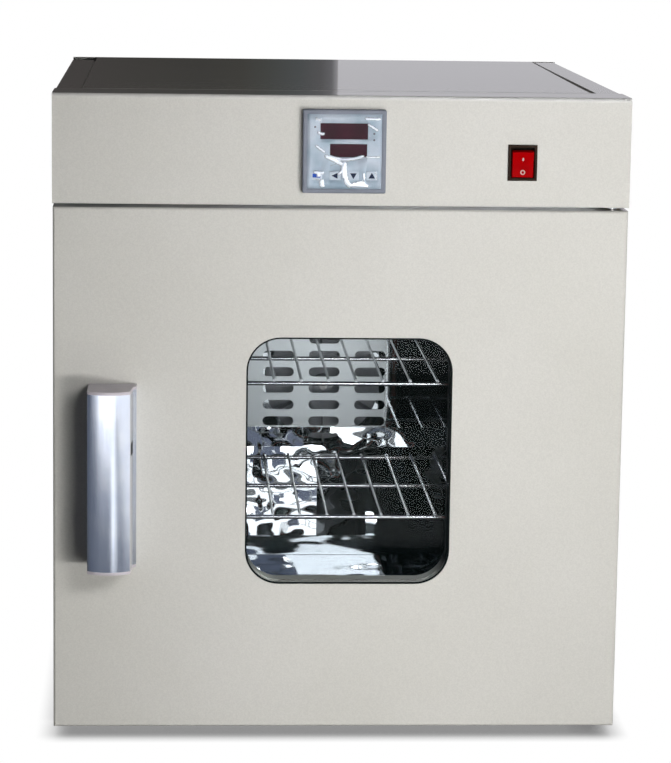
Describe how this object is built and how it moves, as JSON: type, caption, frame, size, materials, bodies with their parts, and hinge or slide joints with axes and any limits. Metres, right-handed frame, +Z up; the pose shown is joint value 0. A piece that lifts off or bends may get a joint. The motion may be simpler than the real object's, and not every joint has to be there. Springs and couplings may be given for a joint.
{
  "type": "dry heat sterilizer",
  "caption": "Benchtop dry heat sterilizer: sheet steel cabinet, hinged insulated door with rounded window and tall pull, bright chamber with wire shelves and fan, controls above the door.",
  "frame": {"origin": "middle of the outline on the floor, at the soles of the feet", "axes": "+X to the right seen from the front, +Y to the rear, +Z up"},
  "size_m": [0.5, 0.613, 0.5711],
  "materials": {
    "cabinet_paint": "semi-gloss light grey powder coat",
    "door_paint": "semi-gloss light grey powder coat",
    "grey_plastic": "fine grained blue grey moulded plastic",
    "black_plastic": "glossy black moulded plastic",
    "red_plastic": "translucent red moulded plastic",
    "key_plastic": "satin pale grey keycap",
    "display": "dark maroon display window",
    "clear_film": "clear protective film",
    "steel_mirror": "mirror polished stainless steel",
    "steel_satin": "satin stainless steel",
    "steel_zinc": "zinc plated sheet steel",
    "steel_screw": "bright zinc plated screw",
    "wire_chrome": "electropolished wire",
    "window_trim": "dark glossy reveal",
    "glass": "clear tempered glass",
    "silicone": "red brown silicone rubber",
    "rubber": "black rubber",
    "wool": "compressed mineral wool board",
    "anodised": "satin anodised extrusion",
    "cap_plastic": "grey brown end cap",
    "element": "heat tinted element sheath",
    "motor": "black enamelled motor",
    "bronze": "sintered bronze",
    "magnet": "ferrite magnet",
    "sink": "plain aluminium heat sink",
    "terminal": "ivory terminal moulding"
  },
  "bodies": {
    "cabinet": {"side_panel_left": "cabinet_paint", "side_panel_right": "cabinet_paint", "top_cover": "cabinet_paint", "control_fascia": "cabinet_paint", "rear_panel": "cabinet_paint", "rear_screws": "steel_screw", "base_pan": "steel_zinc", "feet": "rubber", "foot_screws": "steel_screw", "front_frame": "steel_satin", "door_gasket": "silicone", "chamber_liner": "steel_mirror", "fan_baffle": "steel_mirror", "insulation_jacket": "wool", "insulation_back": "wool", "electrics_tray": "steel_zinc", "motor_bulkhead": "steel_zinc", "motor_bracket": "steel_zinc", "fan_motor": "motor", "heater_elements": "element", "temperature_probes": "steel_satin", "shelf_runner_left": "steel_satin", "shelf_runner_right": "steel_satin", "hinge_plates": "steel_zinc", "hinge_pins": "steel_screw", "catch_magnets": "magnet", "controller_bezel": "grey_plastic", "controller_case": "grey_plastic", "controller_displays": "display", "controller_film": "clear_film", "rocker_bezel": "black_plastic", "relay_block": "sink", "terminal_block": "terminal", "limit_thermostat": "terminal", "power_inlet": "black_plastic", "vent_tube": "steel_satin"},
    "door": {"door_skin": "door_paint", "door_inner_pan": "steel_satin", "door_insulation": "wool", "window_frame": "window_trim", "outer_glass": "glass", "window_spacer": "steel_satin", "inner_glass": "glass", "glass_seals": "silicone", "handle_grip": "anodised", "handle_caps": "cap_plastic", "handle_screws": "steel_screw", "hinge_bushes": "bronze", "catch_strikes": "steel_zinc"},
    "rocker": {"rocker": "red_plastic"},
    "key_1": {"key_1": "key_plastic"},
    "key_2": {"key_2": "key_plastic"},
    "key_3": {"key_3": "key_plastic"},
    "key_4": {"key_4": "key_plastic"},
    "fan": {"fan_impeller": "sink", "fan_shaft": "steel_screw"},
    "shelf_lower": {"shelf_lower": "wire_chrome"},
    "shelf_upper": {"shelf_upper": "wire_chrome"},
    "vent_damper": {"vent_damper": "sink"}
  },
  "joints": [
    {"name": "door_hinge", "type": "hinge", "parent": "cabinet", "child": "door", "pos_m": [0.238, -0.2385, 0.24], "axis": [0, 0, 1], "range_deg": [0, 110]},
    {"name": "rocker_tilt", "type": "hinge", "parent": "cabinet", "child": "rocker", "pos_m": [0.1558, -0.2555, 0.5146], "axis": [1, 0, 0], "range_deg": [-18, 0]},
    {"name": "key_1_press", "type": "slide", "parent": "cabinet", "child": "key_1", "axis": [0, 1, 0], "range_m": [0, 0.0006], "stiffness_N_per_m": 400},
    {"name": "key_2_press", "type": "slide", "parent": "cabinet", "child": "key_2", "axis": [0, 1, 0], "range_m": [0, 0.0006], "stiffness_N_per_m": 400},
    {"name": "key_3_press", "type": "slide", "parent": "cabinet", "child": "key_3", "axis": [0, 1, 0], "range_m": [0, 0.0006], "stiffness_N_per_m": 400},
    {"name": "key_4_press", "type": "slide", "parent": "cabinet", "child": "key_4", "axis": [0, 1, 0], "range_m": [0, 0.0006], "stiffness_N_per_m": 400},
    {"name": "fan_spin", "type": "hinge", "parent": "cabinet", "child": "fan", "pos_m": [0.006, 0.15, 0.251], "axis": [0, 1, 0], "continuous": true},
    {"name": "shelf_lower_slide", "type": "slide", "parent": "cabinet", "child": "shelf_lower", "axis": [0, -1, 0], "range_m": [-0.025, 0.009]},
    {"name": "shelf_upper_slide", "type": "slide", "parent": "cabinet", "child": "shelf_upper", "axis": [0, -1, 0], "range_m": [-0.025, 0.009]},
    {"name": "vent_damper_turn", "type": "hinge", "parent": "cabinet", "child": "vent_damper", "pos_m": [-0.106, 0.3027, 0.369], "axis": [0, 1, 0], "range_deg": [0, 90]}
  ]
}
